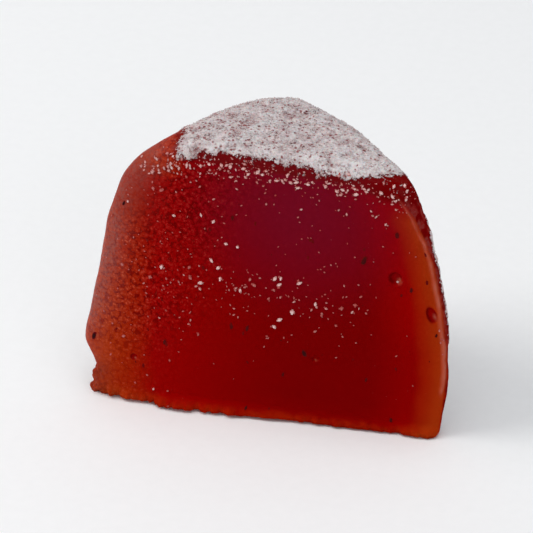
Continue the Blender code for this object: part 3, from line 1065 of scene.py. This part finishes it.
speckSet = {
    "seed": 29,
    # x, z and size on the cut face, and how far each has faded
    "spots": (
        (9.5, 18.0, 0.88, 0.30), (12.5, 21.0, 0.58, 0.45), (4.0, 7.5, 0.68, 0.12), (-1.5, 9.5, 0.52, 0.35),
        (-3.0, 9.5, 0.48, 0.50), (-13.5, 21.0, 0.52, 0.0), (-16.5, 6.5, 0.72, 0.0), (14.0, 15.5, 0.52, 0.35),
        (16.5, 11.0, 0.40, 0.10), (12.5, 1.5, 0.50, 0.35), (-1.5, 1.0, 0.42, 0.20), (10.0, 5.5, 0.40, 0.50),
        (2.0, 5.0, 0.42, 0.50), (-9.5, 7.0, 0.50, 0.40), (-3.0, 21.0, 0.44, 0.45),
    ),
    # small ones and faint ones at random: how many, x, z, size, and how far each has faded
    "scattered": (
        (14, (-15.5, 16.0), (1.0, 23.0), (0.10, 0.18), 0.2),
        (24, (-16.0, 16.5), (1.0, 22.0), (0.24, 0.44), 0.84),
    ),
    # width and height as shares of its size, and thickness; how far it turns; its bumps and its soft rim
    "width": (0.52, 0.72), "height": (1.00, 1.35), "thickness": 0.28, "twist": 0.4,
    "swell": 0.3, "swellScale": 1.3, "softRim": (0.50, 1.0), "sink": 0.04,
}
crystalSet = {
    "seed": 17,
    # length, width and height as shares of its size, how far it leans, its bevel and its unevenness
    "form": ((0.95, 1.40), (0.56, 0.80), (0.5, 0.8)), "lean": 0.5, "bevel": 0.55, "uneven": (0.88, 1.12),
    "rootMelt": (0.6, -0.1, 0.3),               # melts towards its foot, by height as a share of its size
    "stand": 0.05,                              # stands out by this share of its size
    "facing": 0.3, "clearOfSpeck": 0.62,        # only where the cut faces the front, and not on a speck
    # a crystal above this size stands in a low pool of melted sugar: how wide, how deep and how far melted
    "skirtFrom": 0.27, "skirt": 1.28, "skirtSink": 0.20, "skirtMelt": (0.88, 0.97),
    # along the cut's upper edge, from x to x: how many, spread in height, size, and how far melted
    "edge": (-9.6, 14.2), "edgeDrop": 0.35,
    "edgeKinds": ((70, 0.46, (0.20, 0.34), (0.10, 0.70)), (200, 0.60, (0.10, 0.19), (0.4, 0.95))),
    "clusters": (1.1, 5.0), "clusterLimit": (-0.9, 0.35),       # noise that gathers them, and its limit
    # and a row of separate ones below it: its line as (x, z), how many, size, spread, and how far melted
    "rowLine": (
        (-8.0, 25.8), (-2.5, 26.3), (1.5, 25.3), (5.0, 25.4), (7.0, 24.8), (10.0, 25.2), (13.5, 25.9),
    ),
    "rowCount": 20, "rowSize": (0.30, 0.42), "rowSpread": 0.14, "rowMelt": 0.35,
    # fewer further down: how many, x, drop from and by, size, and how far melted
    "below": (36, (-13.5, 12.5), (0.7, 3.6), (0.16, 0.27), (0.25, 0.75)),
    # the loose band across the middle of the cut
    "band": (-12.0, 10.5), "bandHeight": 13.2, "bandSpread": 1.3,
    "bandKinds": ((34, 1.1, (0.20, 0.31), (0.50, 0.86)), (84, 1.4, (0.13, 0.22), (0.70, 0.92))),
    # strays: how many, x and z each as (start, span, power of the draw), size, and how far melted
    "strays": (200, (-16.5, 31.0, 1.7), (2.5, 23.0, 0.6), (0.12, 0.20), (0.70, 0.97)),
    # on the lip: how many, z, distance and spread beside it, size, and how far melted
    "onLip": (5, (8.5, 12.6), (-0.1, 0.22), (0.14, 0.22), (0.6, 0.9)),
    # a cluster under the bare tab: how many, x, z in the middle, slope, spread, size, and how far melted
    "tab": (34, (-12.3, -8.0), 24.9, 0.12, 0.38, (0.17, 0.32), (0.15, 0.75)),
    # the largest ones, as (x, z, size): the white ones, and those that have melted to pink, more so low down
    "whiteMelt": 0.15, "pinkMelt": (0.66, 0.88), "pinkLow": (0.10, 6.0, 10.0),
    "white": (
        (1.1, 15.1, 0.44), (1.65, 15.2, 0.40), (1.5, 14.5, 0.46), (3.4, 14.9, 0.44), (2.8, 11.8, 0.50),
        (1.6, 10.8, 0.42), (1.1, 10.0, 0.44), (-5.0, 16.3, 0.40), (-4.3, 15.6, 0.38), (-6.0, 13.8, 0.42),
        (-4.1, 14.5, 0.38), (-2.2, 13.4, 0.36), (-9.8, 15.0, 0.40), (-8.6, 20.5, 0.34), (-4.8, 20.4, 0.30),
        (-3.6, 18.2, 0.30), (-2.5, 18.0, 0.30), (-6.0, 20.9, 0.28), (-10.6, 1.7, 0.26), (-13.1, 21.3, 0.28),
        # the last one on the next line, a white crystal, stands in for the highlight in the first open
        # bubble: a painted highlight
        (8.5, 12.5, 0.32), (5.0, 12.9, 0.34), (12.65, 16.05, 0.24),
    ),
    "pink": (
        (-0.9, 14.2, 0.40), (-2.7, 13.6, 0.32), (-7.1, 15.3, 0.36), (-7.0, 14.2, 0.30), (-10.9, 13.8, 0.32),
        (-13.6, 14.7, 0.34), (-10.6, 23.1, 0.38), (-9.8, 23.0, 0.36), (-7.4, 24.7, 0.28), (-4.8, 22.7, 0.26),
        (8.8, 13.3, 0.32), (7.5, 12.8, 0.34), (5.6, 11.8, 0.30), (-13.5, 7.1, 0.30), (-14.8, 4.9, 0.22),
        (-11.2, 3.2, 0.26), (-12.4, 2.2, 0.22), (-9.2, 1.7, 0.24), (-9.0, 0.5, 0.26), (-9.0, 5.1, 0.22),
        (-7.1, 9.3, 0.28), (0.5, 12.9, 0.28), (7.0, 10.9, 0.28), (5.0, 10.0, 0.28), (-6.2, 8.3, 0.28),
        (0.4, 8.9, 0.24), (-2.8, 10.8, 0.26),
    ),
}
crystalLook = {
    "bright": (0.960, 0.800, 0.760, 1.0),
    "shade": (0.800, 0.470, 0.440, 1.0),
    "melted": (0.430, 0.060, 0.050, 1.0),
    "grain": {"Scale": 3000.0, "Contrast": 2.0, "Detail": 2.0},
    "roughness": (0.30, 0.45), "specular": 0.08,
    "coat": 0.9, "coatUntil": 0.45, "coatRoughness": 0.10,
}


def crystalShape(draw, centre, normal, size, melt):
    # a sugar crystal: a rounded box, longer one way, leaning on the gel and melting into it below
    lean = crystalSet["lean"]
    tilt = Euler((draw.uniform(-lean, lean), draw.uniform(-lean, lean), draw.uniform(0, fullTurn)))
    turn = normal.to_track_quat("Z", "Y").to_matrix() @ tilt.to_matrix()
    half = Vector([draw.uniform(*reach) for reach in crystalSet["form"]]) * size / 2
    bm = bmesh.new()
    bmesh.ops.create_cube(bm, size=2.0)
    bmesh.ops.bevel(bm, geom=bm.edges[:], offset=crystalSet["bevel"], segments=2, affect="EDGES")
    melts = []
    for vert in bm.verts:
        away = turn @ Vector([c * h * draw.uniform(*crystalSet["uneven"]) for c, h in zip(vert.co, half)])
        vert.co = centre + away
        melts.append(min(1.0, melt + fall(away.dot(normal) / size, crystalSet["rootMelt"])))
    return *meshParts(bm), melts


def onCut(x, z):
    # the point and normal of the cut face at x and z, seen from in front of it
    return gelTree.ray_cast(Vector((x, -20.0, z)) * mm, Vector((0, 1, 0)))[:2]


# where the crystals lie, each as (x, z, size, melt)

def edgePlaces(draw):
    # along the cut's upper edge, in clusters
    for count, spread, (low, high), melts in crystalSet["edgeKinds"]:
        made = 0
        while made < count:
            x = draw.uniform(*crystalSet["edge"])
            if rippleAlong(x, *crystalSet["clusters"]) < draw.uniform(*crystalSet["clusterLimit"]):
                continue
            z = gelSet["brow"] - gelSet["browFall"] * x - crystalSet["edgeDrop"] + draw.gauss(0.0, spread)
            yield x, z, low + (high - low) * draw.random() ** 1.6, draw.uniform(*melts)
            made += 1


def tabPlaces(draw):
    count, (low, high), middle, slope, spread, sizes, melts = crystalSet["tab"]
    for _ in range(count):
        x = draw.uniform(low, high)
        z = middle + slope * (x - low) + draw.gauss(0.0, spread)
        yield x, z, draw.uniform(*sizes), draw.uniform(*melts)


def belowPlaces(draw):
    count, reach, (drop, span), sizes, melts = crystalSet["below"]
    for _ in range(count):
        x = draw.uniform(*reach)
        z = gelSet["brow"] - gelSet["browFall"] * x - drop - span * draw.random() ** 1.5
        yield x, z, draw.uniform(*sizes), draw.uniform(*melts)


def bandPlaces(draw):
    for count, spread, (low, high), melts in crystalSet["bandKinds"]:
        for _ in range(count):
            x = draw.uniform(*crystalSet["band"])
            z = crystalSet["bandHeight"] + draw.gauss(0, spread * crystalSet["bandSpread"])
            yield x, z, low + (high - low) * draw.random() ** 2, draw.uniform(*melts)


def strayPlaces(draw):
    count, (left, width, widthPower), (bottom, height, heightPower), sizes, melts = crystalSet["strays"]
    for _ in range(count):
        x = left + width * draw.random() ** widthPower
        z = bottom + height * draw.random() ** heightPower
        yield x, z, draw.uniform(*sizes), draw.uniform(*melts)


def lipPlaces(draw):
    count, heights, (beside, spread), sizes, melts = crystalSet["onLip"]
    for _ in range(count):
        z = draw.uniform(*heights)
        x = between(gelSet["lipLine"], z) + draw.gauss(beside, spread)
        yield x, z, draw.uniform(*sizes), draw.uniform(*melts)


def rowPlaces(draw):
    start, end = crystalSet["rowLine"][0][0], crystalSet["rowLine"][-1][0]
    for number in range(crystalSet["rowCount"]):
        x = start + (end - start) * (number + draw.uniform(0.1, 0.9)) / crystalSet["rowCount"]
        z = between(crystalSet["rowLine"], x) + draw.gauss(0.0, crystalSet["rowSpread"])
        yield x, z, draw.uniform(*crystalSet["rowSize"]), crystalSet["rowMelt"] * draw.random()


def namedPlaces(draw):
    for x, z, size in crystalSet["white"]:
        yield x, z, size, crystalSet["whiteMelt"] * draw.random()
    for x, z, size in crystalSet["pink"]:
        yield x, z, size, draw.uniform(*crystalSet["pinkMelt"]) + fall(z, crystalSet["pinkLow"])


placeKinds = (edgePlaces, tabPlaces, belowPlaces, bandPlaces, strayPlaces, lipPlaces, rowPlaces, namedPlaces)


def buildCrystals():
    draw = random.Random(crystalSet["seed"])
    places = [place for kind in placeKinds for place in kind(draw)]
    clear = crystalSet["clearOfSpeck"]
    shapes = []
    for x, z, size, melt in places:
        spot, normal = onCut(x, z)
        onSpeck = any(math.hypot(x - a, z - b) < clear * width for a, b, width, _ in speckSet["spots"])
        if spot is None or normal.y > -crystalSet["facing"] or onSpeck:
            continue
        stand = spot + normal * size * crystalSet["stand"] * mm
        shapes.append(crystalShape(draw, stand, normal, size * mm, melt))
        if size > crystalSet["skirtFrom"]:
            wide = size * crystalSet["skirt"] * mm
            pool = spot - normal * wide * crystalSet["skirtSink"]
            shapes.append(crystalShape(draw, pool, normal, wide, draw.uniform(*crystalSet["skirtMelt"])))
    scatterMesh("sugar_crystals", shapes, bitMaterial("crystalSugar", crystalLook))


speckLook = {
    "bright": (0.036, 0.005, 0.006, 1.0),
    "shade": (0.008, 0.002, 0.002, 1.0),
    "melted": (0.160, 0.0010, 0.0008, 1.0),
    "grain": {"Scale": 5000.0, "Contrast": 2.0, "Detail": 2.0},
    "roughness": (0.45, 0.60), "specular": 0.04,
}


def speckShape(draw, centre, normal, size, seed, faded):
    # a flat uneven crumb, taller than wide, sunk until only its top shows, and softer towards its rim
    values = speckSet
    twist = Matrix.Rotation(draw.uniform(-values["twist"], values["twist"]), 3, "Z")
    turn = normal.to_track_quat("Z", "Y").to_matrix() @ twist
    shares = (draw.uniform(*values["width"]), draw.uniform(*values["height"]), values["thickness"])
    half = Vector(shares) * size / 2
    bm = bmesh.new()
    bmesh.ops.create_icosphere(bm, subdivisions=3, radius=1.0)
    melts = []
    for vert in bm.verts:
        melts.append(max(faded, smooth(math.hypot(vert.co.x, vert.co.y), *values["softRim"])))
        swell = 1 + values["swell"] * noise.noise(vert.co * values["swellScale"] + Vector((0, seed, 0)))
        vert.co = centre + turn @ Vector([c * h * swell for c, h in zip(vert.co, half)])
    return *meshParts(bm), melts


def buildSpecks():
    draw = random.Random(speckSet["seed"])
    places = list(speckSet["spots"])
    for count, across, up, sizes, faded in speckSet["scattered"]:
        for _ in range(count):
            places.append((draw.uniform(*across), draw.uniform(*up), draw.uniform(*sizes), faded))
    shapes = []
    for number, (x, z, size, faded) in enumerate(places):
        spot, normal = onCut(x, z)
        if spot is not None:
            spot = spot - normal * size * speckSet["sink"] * mm
            shapes.append(speckShape(draw, spot, normal, size * mm, 2.0 * number, faded))
    scatterMesh("dark_specks", shapes, bitMaterial("darkSpeck", speckLook))


buildDust()
buildCrystals()
buildSpecks()
